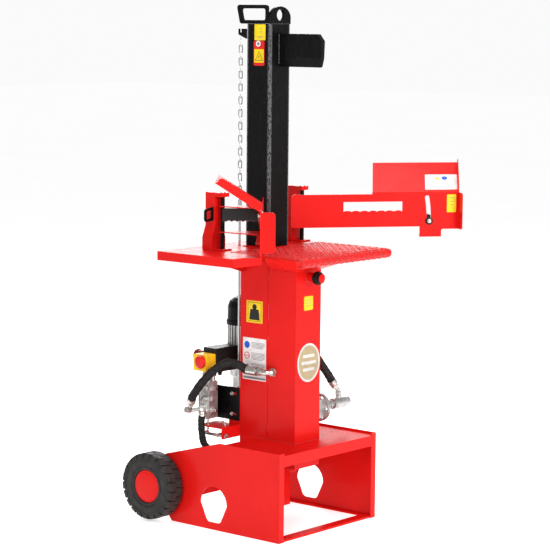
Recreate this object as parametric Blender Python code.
"""Vertical hydraulic log splitter, modelled as separate pieces in metres, +Z up, front towards -Y.

The origin is the middle of the underside of the floor bar that joins the side plates at the front.
"""

import math

import bmesh
import bpy
from mathutils import Matrix, Vector

GAP = 0.0003            # clearance left between pieces that touch
ROUND = 28              # sides of a turned piece
SMALL_ROUND = 14        # sides of a pin or a bolt
CORNER_STEPS = 3        # chords in a rounded corner

# Base
BASE_HALF = 0.2925
SHEET = 0.005
BASE_H = 0.339
BAR_DEPTH = 0.045
BAR_THICK = 0.008
FLANGE = 0.028
DECK_Z = BASE_H - 0.009
LIP = 0.042
BASE_FRONT = -BAR_DEPTH / 2 - GAP - SHEET
BASE_REAR = 0.650
BASE_REAR_LOW = 0.085
CHAMFER_Y = 0.545
SLOPE = 0.276           # fall of the side plates' top edge towards the wheels
WINDOW_W = 0.136
WINDOW_H = 0.140
WINDOW_Y = 0.302
WINDOW_LOW = 0.028
MEMBER_Z = 0.125
MEMBER_H = 0.090
MEMBER_DEPTH = 0.040

# Wheels
WHEEL_R = 0.130
WHEEL_W = 0.078
WHEEL_GAP = 0.0075
TYRE_BORE = 0.0640
HUB_W = 0.060
AXLE_R = 0.012
AXLE_Y = 0.580
AXLE_Z = WHEEL_R + 0.010
RUNNING = 0.0005        # radial clearance of a turning fit

# Ram and column
RAM_Y = 0.294
RAM_W = 0.120
RAM_WALL = 0.006
RAM_CORNER = 0.009
STROKE = 0.560
BUSH = 0.0084
BUSH_H = 0.060
GUIDE_WALL = 0.005
GUIDE_LOW = 0.052
RAM_LOW = GUIDE_LOW + 0.030 + STROKE
GUIDE = RAM_W + 2 * (GAP + BUSH + GAP + GUIDE_WALL)
TANK_DEPTH = 0.138
TANK_WALL = 0.004
TANK_LOW = 0.230
BARREL_R = 0.042
BORE_R = 0.035
ROD_R = 0.020
BARREL_LOW = GUIDE_LOW + 0.008
BARREL_END = 0.014
PISTON_H = 0.036

# Table
TABLE_Z = 1.071
RAM_TOP = TABLE_Z + 0.854
TANK_TOP = TABLE_Z - 0.078
TABLE_SHEET = 0.005
TABLE_HALF = 0.265
TABLE_FRONT = -0.405    # from the ram's axis
TABLE_REAR = -0.030
NOSE_R = 0.0165
NOSE_RETURN = 0.012
SHELF_LEFT = -0.425
SHELF_FRONT = -0.205
SHELF_REAR = 0.180
SHELF_DROP = 0.034
HOPPER_Z = TANK_TOP
HOPPER_T = 0.0056
GUSSET_H = 0.092
HOPPER_REAR = -0.080     # from the ram's axis, at the foot
HOPPER_REAR_TOP = -0.208
HOPPER_SET = 0.045
COLLAR_T = 0.010
COLLAR_H = 0.004
NECK_R = 0.0185
NECK_BORE = 0.0135
NECK_L = 0.034
NECK_Z = TANK_TOP - 0.025
CAP_R = 0.024
CAP_DISC_R = 0.0185
CAP_L = 0.030

# Wedge, eye, handle
WEDGE_T = 0.020
WEDGE_L = 0.210
WEDGE_LOW = RAM_TOP - 0.161
WEDGE_H = 0.125
WEDGE_EDGE = 0.034
EYE_T = 0.012
EYE_HALF = RAM_W / 2
EYE_TOP = RAM_TOP + 0.067
EYE_HOLE_R = 0.0215
EYE_HOLE_Z = RAM_TOP + 0.034
HANDLE_T = 0.008
HANDLE_TOP = RAM_TOP + 0.072
HANDLE_REAR = RAM_W / 2 + 0.034     # from the ram's axis, at the foot
HANDLE_LEAN = 0.017
HANDLE_BAR = 0.014
HOOK_LOW = RAM_TOP - 0.057
HOOK_REACH = 0.040
HOOK_T = 0.006

# Stroke limiter and valve linkage
ROD_X = -0.058
ROD_DY = RAM_W / 2 + 0.030
CONTROL_R = 0.0045
CONTROL_LOW = 0.325
CONTROL_TOP = TABLE_Z + 0.179
CHAIN_W = 0.017
CHAIN_TOP = RAM_TOP - 0.059
CHAIN_T = 0.0045

# Arms
PIVOT_X = 0.235
PIVOT_DY = 0.020
PIN_R = 0.008
ARM_ANGLE = {"right": 37.0, "left": 40.0}
ARM_TIP = 0.600         # along the arm from the swing axis
ARM_ROOT = -0.078
PLATE_V = 0.152         # from the swing axis to the guard plate, towards the log
PLATE_T = 0.004
PLATE_LOW = TABLE_Z + 0.068
PLATE_TOP = TABLE_Z + 0.197
FOLD_Z = TABLE_Z + 0.204
TIP_LOW = TABLE_Z + 0.057
TAB_LOW = TABLE_Z + 0.027
TAB_U = (0.440, 0.5285)
VIEW_U = (0.130, 0.3685)    # window through the guard plate
VIEW_Z = (TABLE_Z + 0.128, TABLE_Z + 0.167)
TIP_FLANGE = 0.050
ROOF_OUT = 0.157
ROOF_UP = 0.105
ROOF_START = 0.246
ROOF_SKEW = 0.042       # how far the roof leans towards the tip
ROOF_FLANGE = 0.025
EAR_R = 0.0150
UPPER_EAR_Z = TABLE_Z + 0.166
POST_TOP = TABLE_Z + 0.220
POST_NECK = (TABLE_Z + 0.049, TABLE_Z + 0.094)
POST_W = 0.077
POST_TOP_W = 0.042
POST_DEPTH = 0.049
POST_OFFSET = 0.020
LEVER_U = 0.021
LEVER_Z = TABLE_Z + 0.097
LEVER_R = 0.456
LEVER_LOW = -0.9        # degrees
LEVER_HIGH = 10.4
LEVER_T = 0.006
LEVER_H = 0.022
SLOT_HALF = 0.009
BOLT_R = 0.0080
GRIP_L = 0.1255
GRIP_H = 0.046
GRIP_W = 0.022
LOOP_REACH = 0.045
LOOP_Z = (TABLE_Z + 0.114, TABLE_Z + 0.164)

# Motor and pump
MOTOR_X = 0.060
MOTOR_R = 0.070
MOTOR_DY = GUIDE / 2 + MOTOR_R + 0.017
FIN_DEPTH = 0.008
FINS = 30
MOTOR_LOW = 0.600
MOTOR_TOP = 0.745
COWL_TOP = MOTOR_TOP + 0.112
MOTOR_BORE = 0.0465
ROTOR_R = 0.044
SHAFT_R = 0.010
BELL_LOW = 0.530
PUMP_LOW = 0.430
BOX_X = MOTOR_X - MOTOR_R - 0.130
BOX_Y = (MOTOR_DY - 0.024, MOTOR_DY + 0.0425)
BOX_Z = (0.575, 0.668)
SWITCH_X = BOX_X - 0.054
SWITCH_Z = (0.585, 0.650)
BUTTON_Y = MOTOR_DY - 0.001
BUTTON_Z = 0.622
BUTTON_R = 0.025
STEM_R = 0.008
INLET_Z = 0.628

# Valve
LUG_T = 0.006
BRACKET_T = 0.004
VALVE_X = (-0.165, -0.115)
VALVE_Y = (0.148, 0.200)
VALVE_Z = (0.395, 0.540)
SPOOL_X = -0.143
SPOOL_DY = 0.1745
SPOOL_R = 0.006
ROCKER_X = -0.168
ROCKER_Z = 0.338
ROCKER_R = 0.006
SHELF_Z = 0.366
HOSE_R = 0.017
RETURN_R = 0.014
SIDE_PUMP_DY = -0.140
SIDE_PUMP_Z = 0.436

RED = ("signal_red", (0.62, 0.010, 0.008), 0.28, 0.0)
BLACK = ("black_paint", (0.012, 0.012, 0.013), 0.35, 0.0)
RUBBER = ("black_rubber", (0.028, 0.027, 0.027), 0.75, 0.0)
TYRE = ("tyre_rubber", (0.028, 0.027, 0.027), 0.85, 0.0)
PLASTIC = ("black_plastic", (0.015, 0.015, 0.016), 0.45, 0.0)
ZINC = ("zinc", (0.62, 0.61, 0.58), 0.35, 1.0)
CAST = ("cast_aluminium", (0.55, 0.55, 0.54), 0.55, 1.0)
STEEL = ("bright_steel", (0.60, 0.60, 0.61), 0.25, 1.0)
YELLOW = ("yellow_plastic", (0.85, 0.58, 0.02), 0.40, 0.0)
BUTTON_RED = ("button_red", (0.60, 0.012, 0.010), 0.30, 0.0)
NYLON = ("guide_nylon", (0.75, 0.74, 0.70), 0.50, 0.0)


# ---------------------------------------------------------------- shape helpers

def arc(centre, radius, start, end, steps):
    """Points along an arc in a plane, angles in degrees."""
    turn = [math.radians(start + (end - start) * i / steps) for i in range(steps + 1)]
    return [(centre[0] + radius * math.cos(t), centre[1] + radius * math.sin(t)) for t in turn]


def ring(centre, radius, sides):
    return arc(centre, radius, 0, 360, sides)[:-1]


def rectangle(low, high):
    return [low, (high[0], low[1]), high, (low[0], high[1])]


def rounded(points, radii, steps=CORNER_STEPS):
    """The outline with each corner rounded to its radius."""
    if not isinstance(radii, (list, tuple)):
        radii = [radii] * len(points)
    outline = []
    for i, radius in enumerate(radii):
        corner = Vector(points[i])
        before = (Vector(points[i - 1]) - corner).normalized()
        after = (Vector(points[(i + 1) % len(points)]) - corner).normalized()
        if radius <= 0:
            outline.append(tuple(corner))
            continue
        half = before.angle(after) / 2
        reach = radius / math.tan(half)
        centre = corner + (before + after).normalized() * radius / math.sin(half)
        start = corner + before * reach - centre
        turn = start.angle_signed(corner + after * reach - centre)
        for step in range(steps + 1):
            angle = -turn * step / steps
            c, s = math.cos(angle), math.sin(angle)
            outline.append((centre.x + c * start.x - s * start.y, centre.y + s * start.x + c * start.y))
    return outline


def folded(path, thickness):
    """The outline of a sheet of this thickness, bent along a path; the path is its left face."""
    other = []
    for i, point in enumerate(path):
        here = Vector(point)
        before = (here - Vector(path[i - 1])).normalized() if i else None
        after = (Vector(path[i + 1]) - here).normalized() if i < len(path) - 1 else None
        along = (before or after) + (after or before)
        along.normalize()
        normal = Vector((along.y, -along.x))
        edge = before or after
        spread = normal.dot(Vector((edge.y, -edge.x)))
        other.append(tuple(here + normal * thickness / spread))
    return list(path) + other[::-1]


def mesh_object(bm, name="shape"):
    bmesh.ops.recalc_face_normals(bm, faces=bm.faces)
    mesh = bpy.data.meshes.new(name)
    bm.to_mesh(mesh)
    bm.free()
    shape = bpy.data.objects.new(name, mesh)
    bpy.context.scene.collection.objects.link(shape)
    return shape


PLANES = {
    "X": lambda a, b, t: (t, a, b),
    "Y": lambda a, b, t: (a, t, b),
    "Z": lambda a, b, t: (a, b, t),
}


def prism(axis, outline, low, high):
    """An outline in the plane across an axis, extruded along that axis."""
    bm = bmesh.new()
    place = PLANES[axis]
    face = bm.faces.new([bm.verts.new(place(a, b, low)) for a, b in outline])
    grown = bmesh.ops.extrude_face_region(bm, geom=[face])
    verts = [item for item in grown["geom"] if isinstance(item, bmesh.types.BMVert)]
    bmesh.ops.translate(bm, verts=verts, vec=Vector(place(0, 0, high - low)))
    return mesh_object(bm)


def box(low, high):
    return prism("Z", rectangle(low[:2], high[:2]), low[2], high[2])


def rod(axis, centre, radius, low, high, sides=SMALL_ROUND):
    return prism(axis, ring(centre, radius, sides), low, high)


def turned(axis, centre, profile, sides=ROUND, closed=False):
    """A profile of (radius, position) turned about an axis; closed joins its last point to its first."""
    bm = bmesh.new()
    place = PLANES[axis]
    rings = []
    for radius, position in profile:
        if radius < 1e-6:
            rings.append([bm.verts.new(place(*centre, position))])
            continue
        rings.append([bm.verts.new(place(a, b, position)) for a, b in ring(centre, radius, sides)])
    pairs = list(zip(rings, rings[1:]))
    if closed:
        pairs.append((rings[-1], rings[0]))
    for lower, upper in pairs:
        if len(lower) == len(upper) == 1:
            continue
        for i in range(sides):
            j = (i + 1) % sides
            corners = [lower[i % len(lower)], lower[j % len(lower)], upper[j % len(upper)],
                       upper[i % len(upper)]]
            bm.faces.new(list(dict.fromkeys(corners)))
    return mesh_object(bm)


def smooth_route(points, steps):
    """Points read from a smooth curve through the route's own points."""
    route = [Vector(p) for p in points]
    ends = [2 * route[0] - route[1]] + route + [2 * route[-1] - route[-2]]
    curve = []
    for i in range(1, len(ends) - 2):
        p0, p1, p2, p3 = ends[i - 1:i + 3]
        for step in range(steps):
            t = step / steps
            curve.append(0.5 * (2 * p1 + (p2 - p0) * t + (2 * p0 - 5 * p1 + 4 * p2 - p3) * t * t
                                + (3 * p1 - p0 - 3 * p2 + p3) * t ** 3))
    return curve + [route[-1]]


def hose(points, radius, steps=3):
    """A round tube along a smooth route, with closed ends."""
    curve = bpy.data.curves.new("route", "CURVE")
    curve.dimensions = "3D"
    curve.bevel_depth = radius
    curve.bevel_resolution = 3
    curve.use_fill_caps = True
    spline = curve.splines.new("POLY")
    route = smooth_route(points, steps)
    spline.points.add(len(route) - 1)
    for point, place in zip(spline.points, route):
        point.co = (*place, 1)
    holder = bpy.data.objects.new("route", curve)
    bpy.context.scene.collection.objects.link(holder)
    return evaluated(holder)


def evaluated(holder):
    """The object's evaluated shape as a plain mesh object; the object itself goes."""
    graph = bpy.context.evaluated_depsgraph_get()
    mesh = bpy.data.meshes.new_from_object(holder.evaluated_get(graph))
    bm = bmesh.new()
    bm.from_mesh(mesh)
    bmesh.ops.remove_doubles(bm, verts=bm.verts, dist=1e-6)
    bpy.data.meshes.remove(mesh)
    bpy.data.objects.remove(holder)
    return mesh_object(bm)


def combine(base, tools, operation):
    for tool in tools:
        change = base.modifiers.new(operation.lower(), "BOOLEAN")
        change.operation = operation
        change.object = tool
        graph = bpy.context.evaluated_depsgraph_get()
        mesh = bpy.data.meshes.new_from_object(base.evaluated_get(graph))
        base.modifiers.clear()
        base.data = mesh
        bpy.data.objects.remove(tool)
    return base


def fuse(base, *tools):
    return combine(base, tools, "UNION")


def cut(base, *tools):
    return combine(base, tools, "DIFFERENCE")


def material_of(finish):
    name, colour, roughness, metallic = finish
    found = bpy.data.materials.get(name)
    if found:
        return found
    made = bpy.data.materials.new(name)
    made.use_nodes = True
    shader = made.node_tree.nodes["Principled BSDF"]
    shader.inputs["Base Color"].default_value = (*colour, 1)
    shader.inputs["Roughness"].default_value = roughness
    shader.inputs["Metallic"].default_value = metallic
    return made


def node(name, shape, finish, origin=(0, 0, 0), frame=None):
    """Names a shape as a piece, in its frame and with its own origin."""
    if frame:
        shape.data.transform(frame)
        if frame.determinant() < 0:
            shape.data.flip_normals()
    shape.data.transform(Matrix.Translation(-Vector(origin)))
    shape.location = origin
    shape.name = name
    shape.data.name = name
    shape.data.materials.clear()
    shape.data.materials.append(material_of(finish))
    shape.data.shade_smooth()
    shape.data.set_sharp_from_angle(angle=math.radians(30))
    return shape


# ---------------------------------------------------------------- base

def side_top(y):
    """Height of a side plate's top edge."""
    peak = RAM_Y - 0.020
    return BASE_H - max(0.0, y - peak) * SLOPE


def window_outline():
    """A plain window: round top, flanks that close in, rounded foot."""
    half = WINDOW_W / 2
    foot = [(WINDOW_Y - half * 0.5, WINDOW_LOW), (WINDOW_Y + half * 0.5, WINDOW_LOW)]
    crown = arc((WINDOW_Y, WINDOW_LOW + WINDOW_H - half), half, 0, 180, 12)
    return rounded([*foot, *crown], [0.020, 0.020] + [0] * len(crown))


def side_plate(side, sign):
    outer = sign * BASE_HALF
    inner = sign * (BASE_HALF - SHEET)
    flange = sign * (BASE_HALF - FLANGE)
    outline = [
        (BASE_FRONT, 0), (CHAMFER_Y - 0.025, 0), (CHAMFER_Y, 0.030), (BASE_REAR, BASE_REAR_LOW),
        (BASE_REAR, side_top(BASE_REAR)), (RAM_Y - 0.020, BASE_H), (BASE_FRONT, BASE_H),
    ]
    plate = prism("X", outline, min(inner, outer), max(inner, outer))
    overlap = (inner + outer) / 2
    front = box((min(flange, overlap), BASE_FRONT, 0), (max(flange, overlap), BASE_FRONT + SHEET, BASE_H))
    foot_y = BAR_DEPTH / 2 + GAP
    foot = box((min(flange, overlap), foot_y, 0), (max(flange, overlap), CHAMFER_Y - 0.035, SHEET))
    fuse(plate, front, foot)
    window = prism("X", window_outline(), min(inner, outer) - SHEET, max(inner, outer) + SHEET)
    axle_hole = rod("X", (AXLE_Y, AXLE_Z), AXLE_R + GAP, min(inner, outer) - SHEET, max(inner, outer) + SHEET)
    cut(plate, window, axle_hole)
    node("base_side_" + side, plate, RED)


def base():
    for side, sign in (("left", -1), ("right", 1)):
        side_plate(side, sign)
    inner = BASE_HALF - SHEET - GAP
    half_guide = GUIDE / 2 + GAP
    deck = box((-inner, BASE_FRONT + SHEET + GAP, DECK_Z - SHEET), (inner, RAM_Y - 0.020, DECK_Z))
    lip_half = BASE_HALF - FLANGE - GAP
    lip = box((-lip_half, BASE_FRONT, DECK_Z - LIP), (lip_half, BASE_FRONT + SHEET, DECK_Z))
    bridge = box((-lip_half, BASE_FRONT, DECK_Z - SHEET), (lip_half, BASE_FRONT + 3 * SHEET, DECK_Z))
    fuse(deck, lip, bridge)
    tank_front = RAM_Y - GUIDE / 2 - TANK_DEPTH
    cut(deck, box((-half_guide, tank_front - GAP, 0), (half_guide, RAM_Y, 1)))
    node("base_top_plate", deck, RED)
    bar = box((-inner, -BAR_DEPTH / 2, 0), (inner, BAR_DEPTH / 2, BAR_THICK))
    node("base_floor_bar", bar, RED)
    back = RAM_Y + GUIDE / 2 + GAP
    channel = [
        (back + MEMBER_DEPTH, MEMBER_Z), (back, MEMBER_Z),
        (back, MEMBER_Z + MEMBER_H), (back + MEMBER_DEPTH, MEMBER_Z + MEMBER_H),
    ]
    member = prism("X", folded(channel, SHEET), -inner, inner)
    node("rear_cross_member", member, RED)


def wheels():
    inside = BASE_HALF + WHEEL_GAP
    outside = inside + WHEEL_W
    reach = inside + (WHEEL_W + HUB_W) / 2 - 0.006
    centre = (AXLE_Y, AXLE_Z)
    node("axle", rod("X", centre, AXLE_R, -reach, reach), STEEL)
    for side, sign in (("left", -1), ("right", 1)):
        middle = sign * (inside + outside) / 2
        half = WHEEL_W / 2
        hub_half = HUB_W / 2
        shoulder = WHEEL_R * 0.88
        tyre = turned("X", centre, [
            (TYRE_BORE, middle - hub_half), (TYRE_BORE + 0.008, middle - half), (shoulder, middle - half),
            (WHEEL_R, middle - half + 0.008), (WHEEL_R, middle + half - 0.008), (shoulder, middle + half),
            (TYRE_BORE + 0.008, middle + half), (TYRE_BORE, middle + hub_half)], closed=True)
        node("tyre_" + side, tyre, TYRE, (middle, *centre))
        hub = rod("X", centre, TYRE_BORE - GAP, middle - hub_half, middle + hub_half, ROUND)
        closed_end = reach + RUNNING
        cut(hub, rod("X", centre, AXLE_R + RUNNING, min(0, sign * closed_end), max(0, sign * closed_end)))
        node("wheel_hub_" + side, hub, RED, (middle, *centre))


# ---------------------------------------------------------------- column, tank, table

def square(half, radius=0.0, centre=(0.0, None)):
    y = RAM_Y if centre[1] is None else centre[1]
    corners = rectangle((centre[0] - half, y - half), (centre[0] + half, y + half))
    return rounded(corners, radius) if radius else corners


def column():
    half = GUIDE / 2
    guide_top = TABLE_Z - TABLE_SHEET - GAP
    guide = prism("Z", square(half, 0.010), GUIDE_LOW, guide_top)
    cut(guide, prism("Z", square(half - GUIDE_WALL, 0.006), GUIDE_LOW - 1, guide_top + 1))
    lug = box((-half, RAM_Y + half - 0.014, 0.370), (-half + LUG_T, RAM_Y + half + 0.051, 0.515))
    fuse(guide, lug)
    node("guide_tube", guide, RED)

    front = RAM_Y - half - TANK_DEPTH
    back = RAM_Y - half - GAP
    tank = prism("Z", rectangle((-half, front), (half, back)), TANK_LOW, TANK_TOP)
    cavity = box((-half + TANK_WALL, front + TANK_WALL, TANK_LOW + TANK_WALL),
                 (half - TANK_WALL, back - TANK_WALL, TANK_TOP - TANK_WALL))
    fill = rod("Y", (0, NECK_Z), NECK_BORE, front - 0.01, front + TANK_WALL + 0.01)
    cut(tank, cavity, fill)
    node("oil_tank", tank, RED)

    neck_end = front - GAP - NECK_L
    neck = rod("Y", (0, NECK_Z), NECK_R, neck_end, front - GAP, ROUND)
    cut(neck, rod("Y", (0, NECK_Z), NECK_BORE, neck_end - 0.01, front + 0.01))
    node("filler_neck", neck, RED)
    ring_back = neck_end - GAP
    cap = turned("Y", (0, NECK_Z), [
        (0, ring_back - CAP_L), (CAP_DISC_R, ring_back - CAP_L), (CAP_DISC_R, ring_back - CAP_L + 0.009),
        (CAP_R, ring_back - CAP_L + 0.009), (CAP_R, ring_back), (0, ring_back)])
    node("filler_cap", cap, PLASTIC, (0, ring_back, NECK_Z))

    bush = prism("Z", square(RAM_W / 2 + GAP + BUSH), guide_top - BUSH_H, guide_top - GAP)
    cut(bush, prism("Z", square(RAM_W / 2 + GAP), 0, 2))
    trim = prism("Z", square(half - GUIDE_WALL - GAP, 0.006), guide_top - BUSH_H, guide_top - GAP)
    combine(bush, [trim], "INTERSECT")
    node("guide_bush", bush, NYLON)


def table():
    half = GUIDE / 2
    opening = RAM_W / 2 + GAP
    low = TABLE_Z - TABLE_SHEET
    nose = RAM_Y + TABLE_FRONT + NOSE_R
    path = [(RAM_Y + TABLE_REAR, TABLE_Z), *arc((nose, TABLE_Z - NOSE_R), NOSE_R, 90, 270, 8),
            (nose + NOSE_RETURN, TABLE_Z - 2 * NOSE_R)]
    plate = prism("X", folded(path[::-1], TABLE_SHEET), -TABLE_HALF, TABLE_HALF)
    cut(plate, box((-opening, RAM_Y - opening, TABLE_Z - 0.1), (opening, RAM_Y, TABLE_Z + 1)))
    node("tread_plate", plate, RED)

    rear_low = RAM_Y + TABLE_REAR + GAP
    side = -TABLE_HALF - GAP
    outline = [
        (TABLE_HALF, rear_low), (TABLE_HALF, RAM_Y + SHELF_REAR), (SHELF_LEFT, RAM_Y + SHELF_REAR),
        (SHELF_LEFT, RAM_Y + SHELF_FRONT), (side, RAM_Y + SHELF_FRONT), (side, rear_low),
    ]
    sheet = prism("Z", outline, low, TABLE_Z)
    drop = TABLE_Z - SHELF_DROP
    rear = RAM_Y + SHELF_REAR
    fuse(sheet,
         box((SHELF_LEFT, RAM_Y + SHELF_FRONT, drop), (SHELF_LEFT + SHEET, rear, TABLE_Z)),
         box((SHELF_LEFT, RAM_Y + SHELF_FRONT, drop), (side, RAM_Y + SHELF_FRONT + SHEET, TABLE_Z)),
         box((SHELF_LEFT, rear - SHEET, drop), (TABLE_HALF, rear, TABLE_Z)))
    rod_hole = rod("Z", (ROD_X, RAM_Y + ROD_DY), CONTROL_R + 0.003, TABLE_Z - 0.1, TABLE_Z + 1)
    cut(sheet, box((-opening, RAM_Y - 0.2, TABLE_Z - 0.1), (opening, RAM_Y + opening, TABLE_Z + 1)), rod_hole)
    node("rear_table", sheet, RED)

    gusset_y = RAM_Y + 0.050
    gusset = prism("Y", [(-half - GAP, low - GAP), (-half - GAP, low - GUSSET_H),
                         (-half - 0.012, low - GUSSET_H),
                         (SHELF_LEFT + 0.060, low - 0.010), (SHELF_LEFT + 0.060, low - GAP)],
                   gusset_y - SHEET / 2, gusset_y + SHEET / 2)
    node("shelf_gusset", gusset, RED)

    hopper()
    outer = opening + COLLAR_T
    collar = prism("Z", square(outer, 0.010), TABLE_Z + GAP, TABLE_Z + COLLAR_H)
    cut(collar, prism("Z", square(opening), TABLE_Z - 0.1, TABLE_Z + 1))
    node("ram_collar", collar, RED)


def hopper():
    """Three sloped walls that carry the table's overhang, closed round the tank."""
    half = GUIDE / 2 + GAP
    front = RAM_Y - GUIDE / 2 - TANK_DEPTH - GAP
    top = TABLE_Z - TABLE_SHEET - GAP - HOPPER_T
    wide = TABLE_HALF - 0.010
    low = [(-half, RAM_Y + HOPPER_REAR), (-half, front), (half, front), (half, RAM_Y + HOPPER_REAR)]
    high = [(-wide, RAM_Y + HOPPER_REAR_TOP), (-wide, RAM_Y + TABLE_FRONT + HOPPER_SET),
            (wide, RAM_Y + TABLE_FRONT + HOPPER_SET), (wide, RAM_Y + HOPPER_REAR_TOP)]
    bm = bmesh.new()
    layers = []
    for lift in (0, HOPPER_T):
        below = [bm.verts.new((x, y, HOPPER_Z + lift)) for x, y in low]
        above = [bm.verts.new((x, y, top + lift)) for x, y in high]
        for i in range(3):
            bm.faces.new([below[i], below[i + 1], above[i + 1], above[i]])
        layers.append(below + above[::-1])
    for i in range(8):
        j = (i + 1) % 8
        bm.faces.new([layers[0][i], layers[0][j], layers[1][j], layers[1][i]])
    bmesh.ops.triangulate(bm, faces=bm.faces)
    node("table_hopper", mesh_object(bm), RED)


# ---------------------------------------------------------------- ram

def ram():
    half = RAM_W / 2
    origin = (0, RAM_Y, RAM_LOW)
    tube = prism("Z", square(half, RAM_CORNER), RAM_LOW, RAM_TOP)
    cut(tube, prism("Z", square(half - RAM_WALL, 0.004), RAM_LOW - 1, RAM_TOP - RAM_WALL))
    node("ram_tube", tube, BLACK, origin)

    face = RAM_Y - half - GAP
    top = WEDGE_LOW + WEDGE_H
    side = rounded([(face, WEDGE_LOW), (face, top), (face - WEDGE_L + 0.022, top),
                    (face - WEDGE_L, top - 0.026), (face - WEDGE_L + 0.004, WEDGE_LOW)],
                   [0, 0, 0.004, 0.004, 0.006])
    plate = prism("X", side, -WEDGE_T / 2, WEDGE_T / 2)
    edge = prism("Y", [(-WEDGE_T / 2, top + 0.01), (WEDGE_T / 2, top + 0.01),
                       (WEDGE_T / 2, WEDGE_LOW + WEDGE_EDGE), (0.001, WEDGE_LOW),
                       (-0.001, WEDGE_LOW), (-WEDGE_T / 2, WEDGE_LOW + WEDGE_EDGE)],
                 face - WEDGE_L - 0.01, face + 0.01)
    node("splitting_wedge", combine(plate, [edge], "INTERSECT"), BLACK, origin)

    eye_low = RAM_TOP + GAP
    dome = [(EYE_HALF * x, EYE_HOLE_Z - 0.010 + (EYE_TOP - EYE_HOLE_Z + 0.010) * z)
            for x, z in arc((0, 0), 1, 0, 180, 12)]
    eye = prism("Y", [(-EYE_HALF, eye_low), (EYE_HALF, eye_low), *dome],
                RAM_Y - half, RAM_Y - half + EYE_T)
    cut(eye, rod("Y", (0, EYE_HOLE_Z), EYE_HOLE_R, RAM_Y - 1, RAM_Y + 1, ROUND))
    node("lifting_eye", eye, BLACK, origin)

    front = RAM_Y - half + EYE_T + GAP
    heel = RAM_Y + HANDLE_REAR
    outline = rounded([(front, eye_low), (heel, eye_low), (heel + HANDLE_LEAN, HANDLE_TOP),
                       (front, HANDLE_TOP)], [0.006, 0.010, 0.010, 0.012])
    window = rounded([(front + HANDLE_BAR, eye_low + HANDLE_BAR),
                      (heel - HANDLE_BAR - 0.004, eye_low + HANDLE_BAR),
                      (heel + HANDLE_LEAN - HANDLE_BAR - 0.011, HANDLE_TOP - HANDLE_BAR),
                      (front + HANDLE_BAR, HANDLE_TOP - HANDLE_BAR)], 0.008)
    handle = prism("X", outline, -half, -half + HANDLE_T)
    cut(handle, prism("X", window, -1, 1))
    node("carry_handle", handle, BLACK, origin)

    rear = RAM_Y + half + GAP
    tip = rear + HOOK_REACH
    top = RAM_TOP - 0.019
    hook = prism("X", [(rear, HOOK_LOW), (tip, HOOK_LOW + 0.016), (tip, top), (tip - HOOK_T, top),
                       (tip - HOOK_T, top - 0.014), (tip - 0.016, top - 0.014), (tip - 0.016, top), (rear,
                                                                                                     top)],
                 ROD_X - HOOK_T / 2, ROD_X + HOOK_T / 2)
    node("chain_hook", hook, BLACK, origin)

    arms = [rectangle((ROD_X - CHAIN_W / 2, -CHAIN_T / 2), (ROD_X + CHAIN_W / 2, CHAIN_T / 2)),
            rectangle((ROD_X - CHAIN_T / 2, -CHAIN_W / 2), (ROD_X + CHAIN_T / 2, CHAIN_W / 2))]
    bars = [prism("Z", [(x, y + RAM_Y + ROD_DY) for x, y in arm], CONTROL_TOP + GAP, CHAIN_TOP) for arm in arms]
    node("stroke_chain", fuse(*bars), ZINC, (ROD_X, RAM_Y + ROD_DY, CONTROL_TOP))


def cylinder():
    """The hydraulic cylinder inside the column: barrel on the foot, piston rod under the ram's end."""
    centre = (0, RAM_Y)
    top = RAM_LOW + PISTON_H + 0.030
    barrel = rod("Z", centre, BARREL_R, BARREL_LOW, top, ROUND)
    bore_low = BARREL_LOW + BARREL_END
    cut(barrel, rod("Z", centre, BORE_R, bore_low, top - 0.020, ROUND),
        rod("Z", centre, ROD_R + RUNNING, top - 0.030, top + 1, ROUND))
    node("cylinder_barrel", barrel, STEEL)
    piston = turned("Z", centre, [
        (0, RAM_LOW), (BORE_R - RUNNING, RAM_LOW), (BORE_R - RUNNING, RAM_LOW + PISTON_H),
        (ROD_R, RAM_LOW + PISTON_H), (ROD_R, RAM_TOP - RAM_WALL - GAP), (0, RAM_TOP - RAM_WALL - GAP)])
    node("piston_rod", piston, STEEL, (*centre, RAM_LOW))


# ---------------------------------------------------------------- arms

def arm_frame(side):
    """Local axes of an arm: u along it, v from the swing axis towards the log, and z up."""
    sign = 1 if side == "right" else -1
    turn = math.radians(ARM_ANGLE[side])
    along = Vector((sign * math.cos(turn), -math.sin(turn), 0))
    to_log = Vector((-sign * math.sin(turn), -math.cos(turn), 0))
    frame = Matrix((along, to_log, (0, 0, 1))).transposed().to_4x4()
    frame.translation = (sign * PIVOT_X, RAM_Y + PIVOT_DY, 0)
    return frame


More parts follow.
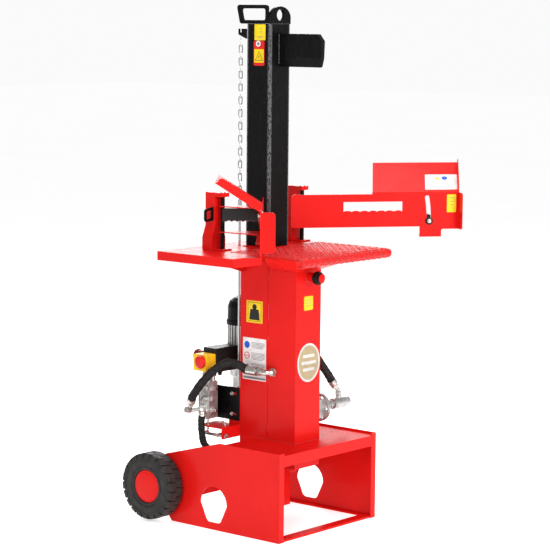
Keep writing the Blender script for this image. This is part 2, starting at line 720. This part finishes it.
def guard_plate():
    """The folded guard: plate with window and slot, roof, end flanges, tab and two hinge ears."""
    tab_start, tab_end = TAB_U
    outline = rounded([
        (ARM_ROOT, PLATE_LOW), (tab_start, PLATE_LOW), (tab_start, TAB_LOW), (tab_end, TAB_LOW), (tab_end,
                                                                                                  TIP_LOW),
        (ARM_TIP, TIP_LOW), (ARM_TIP, FOLD_Z), (ROOF_START, FOLD_Z), (ROOF_START, PLATE_TOP),
        (ARM_ROOT, PLATE_TOP)], [0.01, 0, 0, 0, 0.006, 0, 0, 0, 0, 0.01])
    inside = PLATE_V - PLATE_T / 2
    outside = PLATE_V + PLATE_T / 2
    guard = prism("Y", outline, inside, outside)
    roof_dir = Vector((-ROOF_OUT, ROOF_UP)).normalized()
    roof_up = Vector((-roof_dir.y, roof_dir.x)) * -1
    fold = Vector((outside, FOLD_Z))
    edge = Vector((PLATE_V - ROOF_OUT, FOLD_Z + ROOF_UP))
    roof = prism("X", [tuple(fold - Vector((0, 0.006))), tuple(fold), tuple(edge),
                       tuple(edge - roof_up * PLATE_T), (inside, FOLD_Z - 0.003), (inside, FOLD_Z - 0.006)],
                 ROOF_START, ARM_TIP)
    start = fold + roof_dir * 0.008 - roof_up * PLATE_T * 0.5
    far = fold + roof_dir * (Vector((ROOF_OUT, ROOF_UP)).length - 0.003) - roof_up * PLATE_T * 0.5
    roof_end = prism("X", rounded([tuple(start), tuple(far), tuple(far + roof_up * ROOF_FLANGE),
                                   tuple(start + roof_up * ROOF_FLANGE)], [0, 0, 0.010, 0.010]),
                     ARM_TIP - PLATE_T, ARM_TIP)
    lean = Matrix.Identity(4)
    lean[0][1] = -ROOF_SKEW / ROOF_OUT
    lean[0][3] = outside * ROOF_SKEW / ROOF_OUT
    for piece in (roof, roof_end):
        piece.data.transform(lean)
    tip_end = prism("X", rounded([(inside, TIP_LOW), (outside + TIP_FLANGE, TIP_LOW),
                                  (outside + TIP_FLANGE, FOLD_Z - 0.003), (inside, FOLD_Z - 0.003)],
                                 [0, 0.012, 0.012, 0]), ARM_TIP - PLATE_T, ARM_TIP)
    stiffener = box((0.100, inside - 0.018, PLATE_LOW), (tab_start - 0.010, outside, PLATE_LOW + PLATE_T))
    tab_lip = box((tab_start + 0.015, inside - 0.055, TAB_LOW), (tab_end - 0.0085, outside, TAB_LOW + PLATE_T))
    ear = [(-0.020, outside - 0.001), *arc((0, 0), EAR_R, 175, 365, 8), (0.120, outside - 0.001)]
    ears = [prism("Z", ear, z, z + PLATE_T) for z in (PLATE_LOW + 0.0005, UPPER_EAR_Z)]
    fuse(guard, roof, roof_end, tip_end, stiffener, tab_lip, *ears)
    window = box((VIEW_U[0], inside - 0.01, VIEW_Z[0]), (VIEW_U[1], outside + 0.01, VIEW_Z[1]))
    start_turn = LEVER_LOW - math.degrees(SLOT_HALF / LEVER_R) - 0.2
    end_turn = LEVER_HIGH + math.degrees(SLOT_HALF / LEVER_R) + 0.2
    centre = (LEVER_U, LEVER_Z)
    slot = prism("Y", rounded([
        *arc(centre, LEVER_R + SLOT_HALF, start_turn, end_turn, 6),
        *arc(centre, LEVER_R - SLOT_HALF, end_turn, start_turn, 6)],
        [0.007, 0, 0, 0, 0, 0, 0.007, 0.007, 0, 0, 0, 0, 0, 0.007]), inside - 0.01, outside + 0.01)
    pin_hole = rod("Z", (0, 0), PIN_R + RUNNING, TABLE_Z, POST_TOP)
    lever_hole = rod("Y", centre, BOLT_R + RUNNING, inside - 0.01, outside - 0.001)
    return cut(guard, window, slot, pin_hole, lever_hole)


def control_lever(turn):
    """Flat lever behind the guard plate, its pivot boss, and the guided bolt at its end."""
    inside = PLATE_V - PLATE_T / 2
    outside = PLATE_V + PLATE_T / 2
    face = inside - 0.004
    half = LEVER_H / 2
    bolt_u = LEVER_U + LEVER_R
    bar = prism("Y", rounded(rectangle((LEVER_U - half, LEVER_Z - half), (bolt_u + half, LEVER_Z + half)),
                             0.009),
                face - LEVER_T, face)
    fuse(bar, rod("Y", (LEVER_U, LEVER_Z), BOLT_R, face - 0.002, outside - 0.0015),
         rod("Y", (bolt_u, LEVER_Z), BOLT_R, face - 0.002, outside + 0.006),
         rod("Y", (bolt_u, LEVER_Z), 0.014, outside + GAP, outside + 0.004))
    bar.data.transform(lever_turn(turn))
    return bar


def lever_turn(turn):
    pivot = Matrix.Translation((LEVER_U, 0, LEVER_Z))
    return pivot @ Matrix.Rotation(math.radians(-turn), 4, "Y") @ pivot.inverted()


def grip(turn):
    """Moulded grip bar across the lever's end, with finger hollows on its lower edge."""
    end = PLATE_V - PLATE_T / 2 - 0.004 - LEVER_T - GAP
    start = end - GRIP_L
    fingers = 5
    pitch = GRIP_L * 0.80 / fingers
    low = LEVER_Z - GRIP_H / 2
    points = []
    for i in range(fingers):
        middle = start + GRIP_L * 0.10 + pitch * (i + 0.5)
        points += [(middle + x * pitch * 0.40, low + 0.0035 * math.sin(t)) for x, t in
                   ((-1, 0.0), (-0.5, math.pi / 3), (0.5, math.pi * 2 / 3), (1, math.pi))]
    outline = [(start, low), *points, (end, low), (end, low + GRIP_H), (start, low + GRIP_H)]
    radii = [0.004] + [0] * len(points) + [0.004, 0.006, 0.006]
    bolt_u = LEVER_U + LEVER_R
    bar = prism("X", rounded(outline, radii, 2), bolt_u - GRIP_W / 2, bolt_u + GRIP_W / 2)
    bar.data.transform(lever_turn(turn))
    return bar


def bracket(x):
    """Tapered post, open at the back, with a foot and a top ear for the pivot pin."""
    pin_y = RAM_Y + PIVOT_DY
    front = pin_y + POST_OFFSET
    foot_z = TABLE_Z + GAP
    half = POST_W / 2
    top_half = POST_TOP_W / 2
    wide, narrow = POST_NECK
    outer = [(x - half, foot_z), (x + half, foot_z), (x + half, wide), (x + top_half, narrow),
             (x + top_half, POST_TOP), (x - top_half, POST_TOP), (x - top_half, narrow), (x - half, wide)]
    lid = POST_TOP - SHEET
    inner = [(x - half + SHEET, foot_z - 0.01), (x + half - SHEET, foot_z - 0.01),
             (x + half - SHEET, wide - 0.002),
             (x + top_half - SHEET, narrow - 0.002), (x + top_half - SHEET, lid), (x - top_half + SHEET, lid),
             (x - top_half + SHEET, narrow - 0.002), (x - half + SHEET, wide - 0.002)]
    post = prism("Y", outer, front, front + POST_DEPTH)
    cut(post, prism("Y", inner, front + SHEET, front + POST_DEPTH + 0.01))
    reach = pin_y - EAR_R
    ear = box((x - top_half, reach, POST_TOP - 0.016), (x + top_half, front + 0.002, POST_TOP))
    foot = box((x - 0.030, reach - 0.006, foot_z), (x + 0.030, front + 0.002, foot_z + 0.006))
    fuse(post, ear, foot)
    return cut(post, rod("Z", (x, pin_y), PIN_R + GAP, foot_z - 0.01, POST_TOP + 0.01))


def arms():
    for side, sign in (("left", -1), ("right", 1)):
        x = sign * PIVOT_X
        origin = (x, RAM_Y + PIVOT_DY, PLATE_LOW)
        frame = arm_frame(side)
        turn = LEVER_HIGH if side == "left" else LEVER_LOW
        lever_origin = frame @ Vector((LEVER_U, PLATE_V, LEVER_Z))
        node("arm_bracket_" + side, bracket(x), RED)
        pin = rod("Z", origin[:2], PIN_R, TABLE_Z + GAP, POST_TOP - GAP)
        node("pivot_pin_" + side, pin, BLACK)
        node("arm_guard_" + side, guard_plate(), RED, origin, frame)
        node("control_lever_" + side, control_lever(turn), ZINC, lever_origin, frame)
        node("lever_grip_" + side, grip(turn), PLASTIC, lever_origin, frame)
    side_x = -PIVOT_X - POST_TOP_W / 2 - GAP
    centre_y = RAM_Y + PIVOT_DY + POST_OFFSET
    low, high = LOOP_Z
    far = side_x - LOOP_REACH
    loop = prism("Y", rounded([(side_x, low), (side_x, high), (far, high - 0.007), (far, low - 0.005)],
                              [0, 0, 0.010, 0.010]), centre_y + 0.008, centre_y + 0.016)
    hole = rounded([(side_x - 0.008, low + 0.008), (side_x - 0.008, high - 0.009), (far + 0.008, high - 0.014),
                    (far + 0.008, low + 0.003)], 0.006)
    node("loop_handle", cut(loop, prism("Y", hole, centre_y, centre_y + 0.1)), BLACK)


# ---------------------------------------------------------------- motor, switch, pump

def motor():
    centre = (MOTOR_X, RAM_Y + MOTOR_DY)
    fins = []
    for i in range(FINS):
        start = 2 * math.pi * i / FINS
        for share, radius in ((0.0, MOTOR_R), (0.42, MOTOR_R), (0.5, MOTOR_R - FIN_DEPTH),
                              (0.92, MOTOR_R - FIN_DEPTH)):
            turn = start + share * 2 * math.pi / FINS
            fins.append((centre[0] + radius * math.cos(turn), centre[1] + radius * math.sin(turn)))
    body = prism("Z", fins, MOTOR_LOW, MOTOR_TOP)
    wall = 0.015
    cut(body, rod("Z", centre, MOTOR_BORE, MOTOR_LOW - 0.01, MOTOR_TOP - wall, ROUND),
        rod("Z", centre, SHAFT_R + RUNNING, MOTOR_LOW, MOTOR_TOP + 0.01))
    node("motor_body", body, CAST)

    rotor = turned("Z", centre, [
        (0, BELL_LOW - 0.025), (SHAFT_R, BELL_LOW - 0.025), (SHAFT_R, MOTOR_LOW + 0.025),
        (ROTOR_R, MOTOR_LOW + 0.025), (ROTOR_R, MOTOR_TOP - wall - 0.015), (SHAFT_R, MOTOR_TOP - wall - 0.015),
        (SHAFT_R, MOTOR_TOP + 0.045), (0, MOTOR_TOP + 0.045)])
    node("motor_rotor", rotor, STEEL, (*centre, MOTOR_LOW))
    fan = rod("Z", centre, 0.022, MOTOR_TOP + 0.014, MOTOR_TOP + 0.044)
    blades = []
    for i in range(8):
        blade = box((0.018, -0.0015, MOTOR_TOP + 0.018), (MOTOR_R - 0.012, 0.0015, MOTOR_TOP + 0.042))
        blade.data.transform(Matrix.Translation((*centre, 0)) @ Matrix.Rotation(math.pi * i / 4, 4, "Z"))
        blades.append(blade)
    fuse(fan, *blades)
    cut(fan, rod("Z", centre, SHAFT_R + GAP, 0, 1))
    node("motor_fan", fan, PLASTIC, (*centre, MOTOR_TOP))

    wall = 0.0035
    top = COWL_TOP
    skirt = MOTOR_TOP + GAP
    outside = [(MOTOR_R + 0.004, skirt), (MOTOR_R + 0.004, skirt + 0.014), (MOTOR_R, skirt + 0.020),
               (MOTOR_R - 0.001, top - 0.042), (MOTOR_R - 0.008, top - 0.020), (MOTOR_R - 0.028, top - 0.006),
               (MOTOR_R - 0.052, top - 0.001), (0, top)]
    inside = [(0, top - wall), (MOTOR_R - 0.052, top - 0.005), (MOTOR_R - 0.030, top - 0.010),
              (MOTOR_R - 0.0115, top - 0.023), (MOTOR_R - 0.0045, top - 0.043), (MOTOR_R - 0.0045, skirt)]
    node("fan_cowl", turned("Z", centre, outside + inside, closed=True), BLACK)

    bell = turned("Z", centre, [
        (SHAFT_R + RUNNING, BELL_LOW), (0.045, BELL_LOW), (0.058, BELL_LOW + 0.012), (MOTOR_R - 0.006,
                                                                                      BELL_LOW + 0.045),
        (MOTOR_R, BELL_LOW + 0.055), (MOTOR_R, MOTOR_LOW - GAP), (SHAFT_R + RUNNING,
                                                                  MOTOR_LOW - GAP)], closed=True)
    node("motor_end_bell", bell, CAST)
    pump = prism("Z", rounded(rectangle((centre[0] - 0.040, centre[1] - 0.036),
                                        (centre[0] + 0.040, centre[1] + 0.036)),
                              0.014), PUMP_LOW, BELL_LOW - GAP)
    cut(pump, rod("Z", centre, SHAFT_R + RUNNING, BELL_LOW - 0.032, 1))
    node("gear_pump", pump, CAST)


def switchgear():
    centre = (MOTOR_X, RAM_Y + MOTOR_DY)
    y0, y1 = (RAM_Y + y for y in BOX_Y)
    case = prism("Z", rounded(rectangle((BOX_X, y0), (MOTOR_X - 0.040, y1)), [0.004, 0, 0, 0.004]), *BOX_Z)
    cut(case, rod("Z", centre, MOTOR_R + GAP, 0, 1, 4 * FINS))
    node("terminal_box", case, PLASTIC)
    button = (RAM_Y + BUTTON_Y, BUTTON_Z)
    housing = prism("X", rounded(rectangle((y0, SWITCH_Z[0]), (y1 + 0.002, SWITCH_Z[1])), 0.006),
                    SWITCH_X, BOX_X - GAP)
    cut(housing, rod("X", button, STEM_R + RUNNING, SWITCH_X - 0.01, SWITCH_X + 0.024))
    node("switch_housing", housing, YELLOW)
    face = SWITCH_X - 0.0065
    mushroom = turned("X", button, [
        (0, face - 0.0175), (BUTTON_R * 0.6, face - 0.016), (BUTTON_R * 0.92, face - 0.011), (BUTTON_R,
                                                                                              face - 0.005),
        (BUTTON_R, face), (STEM_R, face), (STEM_R, SWITCH_X + 0.016), (0, SWITCH_X + 0.016)])
    node("stop_button", mushroom, BUTTON_RED, (SWITCH_X, *button))
    inlet = turned("Y", (BOX_X + 0.030, INLET_Z), [
        (0, y1 + GAP), (0.027, y1 + GAP), (0.027, y1 + 0.008), (0.022, y1 + 0.010), (0.022, y1 + 0.050),
        (0.025, y1 + 0.050), (0.025, y1 + 0.058), (0.019, y1 + 0.058), (0.019, y1 + 0.020), (0, y1 + 0.020)])
    node("power_inlet", inlet, BUTTON_RED)


def side_pump():
    """Cast pump unit on the tank's right side: pad, spoked flange, neck, pump body and end cap."""
    centre = (RAM_Y + SIDE_PUMP_DY, SIDE_PUMP_Z)
    x0 = GUIDE / 2 + GAP
    pad = box((x0, centre[0] - 0.035, centre[1] - 0.036), (x0 + 0.076, centre[0] + 0.035, centre[1] + 0.036))
    flange = rod("X", centre, 0.057, x0 + 0.074, x0 + 0.088, ROUND)
    eyes = [rod("X", (centre[0] + 0.040 * math.cos(math.pi * i / 3),
                      centre[1] + 0.040 * math.sin(math.pi * i / 3)),
                0.0115, x0 + 0.070, x0 + 0.092, 8) for i in range(6)]
    neck = rod("X", centre, 0.0140, x0 + 0.080, x0 + 0.172)
    body = rod("X", centre, 0.0215, x0 + 0.168, x0 + 0.238, ROUND)
    end = rod("X", centre, 0.0195, x0 + 0.230, x0 + 0.262)
    port = rod("Z", (x0 + 0.205, centre[0]), 0.011, centre[1], centre[1] + 0.036)
    cut(flange, *eyes)
    node("side_pump", fuse(pad, flange, neck, body, end, port), CAST)
    route = [(x0 + x, centre[0], centre[1] + z) for x, z in (
        (0.002, 0.219), (0.020, 0.220), (0.046, 0.212), (0.074, 0.191), (0.104, 0.158), (0.140, 0.121), (0.166,
                                                                                                         0.089))]
    node("hose_side_pump", hose(route, HOSE_R), RUBBER)


# ---------------------------------------------------------------- valve and its linkage

def valve():
    left = -GUIDE / 2 - GAP
    rear = RAM_Y + VALVE_Y[1] + GAP
    wing = [(left, RAM_Y + GUIDE / 2 - 0.005), (left, rear + BRACKET_T), (VALVE_X[0], rear + BRACKET_T)]
    plate = prism("Z", folded(wing[::-1], BRACKET_T), 0.385, 0.515)
    slots = [prism("X", rounded(rectangle((RAM_Y + 0.084, z - 0.005), (RAM_Y + 0.114, z + 0.005)), 0.0045), -1,
                   0)
             for z in (0.410, 0.490)]
    cut(plate, *slots)
    node("valve_bracket", plate, BLACK)

    block = box((VALVE_X[0], RAM_Y + VALVE_Y[0], VALVE_Z[0]), (VALVE_X[1], RAM_Y + VALVE_Y[1], VALVE_Z[1]))
    spool_at = (SPOOL_X, RAM_Y + SPOOL_DY)
    cut(block, rod("Z", spool_at, SPOOL_R + RUNNING, VALVE_Z[0] - 0.01, VALVE_Z[0] + 0.090))
    node("valve_block", block, CAST)
    rocker_top = ROCKER_Z + 0.007
    spool = rod("Z", spool_at, SPOOL_R, rocker_top + 0.002, VALVE_Z[0] + 0.075)
    node("valve_spool", spool, STEEL, (*spool_at, ROCKER_Z))

    lip_y = RAM_Y + 0.0658
    shelf = box((left - 0.105, lip_y, SHELF_Z), (left, RAM_Y + 0.190, SHELF_Z + SHEET))
    lip = box((left - 0.105, lip_y, ROCKER_Z - 0.012), (left, lip_y + SHEET, SHELF_Z + SHEET))
    fuse(shelf, lip)
    cut(shelf, rod("Z", spool_at, SPOOL_R + 0.002, 0, 1),
        rod("Y", (ROCKER_X, ROCKER_Z), ROCKER_R + RUNNING, lip_y - 0.01, lip_y + 0.01))
    node("linkage_shelf", shelf, RED)

    rod_y = RAM_Y + ROD_DY
    near = rod_y + CONTROL_R + 0.001
    rocker = rod("Y", (ROCKER_X, ROCKER_Z), ROCKER_R, lip_y - 0.010, RAM_Y + SPOOL_DY + 0.004)
    for low, high, end in ((near, near + SHEET, ROD_X + 0.008),
                           (RAM_Y + SPOOL_DY - 0.0025, RAM_Y + SPOOL_DY + 0.0025, SPOOL_X + 0.006)):
        fuse(rocker, prism("Y", rounded(rectangle((ROCKER_X - 0.009, ROCKER_Z - 0.007), (end, rocker_top)),
                                        0.005),
                           low, high))
    node("valve_rocker", rocker, ZINC, (ROCKER_X, rod_y, ROCKER_Z))
    head = turned("Z", (ROD_X, rod_y), [
        (0, CONTROL_LOW), (CONTROL_R, CONTROL_LOW), (CONTROL_R, CONTROL_TOP - 0.030), (0.0075,
                                                                                       CONTROL_TOP - 0.028),
        (0.0075, CONTROL_TOP - 0.004), (0.004, CONTROL_TOP), (0, CONTROL_TOP)], SMALL_ROUND)
    node("control_rod", head, STEEL, (ROD_X, rod_y, CONTROL_LOW))

    elbow_y = RAM_Y - 0.104
    elbow = hose([(left - 0.001, elbow_y, 0.598), (left - 0.018, elbow_y, 0.598),
                  (left - 0.030, elbow_y + 0.010, 0.598),
                  (left - 0.033, elbow_y + 0.030, 0.598), (left - 0.033, elbow_y + 0.060, 0.598)], 0.011)
    ferrule = rod("Y", (left - 0.033, 0.598), 0.0175, elbow_y + 0.056, elbow_y + 0.1035)
    node("tank_elbow", fuse(elbow, ferrule), ZINC)
    start = (left - 0.033, elbow_y + 0.1055, 0.5985)
    route = [start, (left - 0.033, elbow_y + 0.118, 0.600)]
    route += [(x, RAM_Y + dy, z) for x, dy, z in (
        (-0.118, 0.036, 0.615), (-0.150, 0.066, 0.624), (-0.192, 0.096, 0.598),
        (-0.215, 0.140, 0.546), (-0.212, 0.190, 0.488), (-0.205, 0.205, 0.466))]
    node("hose_valve", hose(route, HOSE_R), RUBBER)
    edge = left - 0.105
    into = GUIDE / 2
    route = [(x, RAM_Y + dy, z) for x, dy, z in (
        (edge - 0.0048, 0.168, 0.412), (edge - 0.0148, 0.162, 0.385), (edge - 0.0158, 0.158, 0.345),
        (edge - 0.0058, 0.155, 0.300), (edge + 0.030, into + 0.076, 0.268), (left - 0.026, into + 0.068, 0.252),
        (-0.055, into + 0.051, 0.250), (-0.034, into + 0.036, 0.250), (-0.030, into + 0.022, 0.250),
        (-0.030, into + 0.001, 0.250))]
    node("hose_return", hose(route, RETURN_R), RUBBER)


def build():
    for old in list(bpy.data.objects):
        bpy.data.objects.remove(old)
    base()
    wheels()
    column()
    table()
    ram()
    cylinder()
    arms()
    motor()
    switchgear()
    side_pump()
    valve()


build()
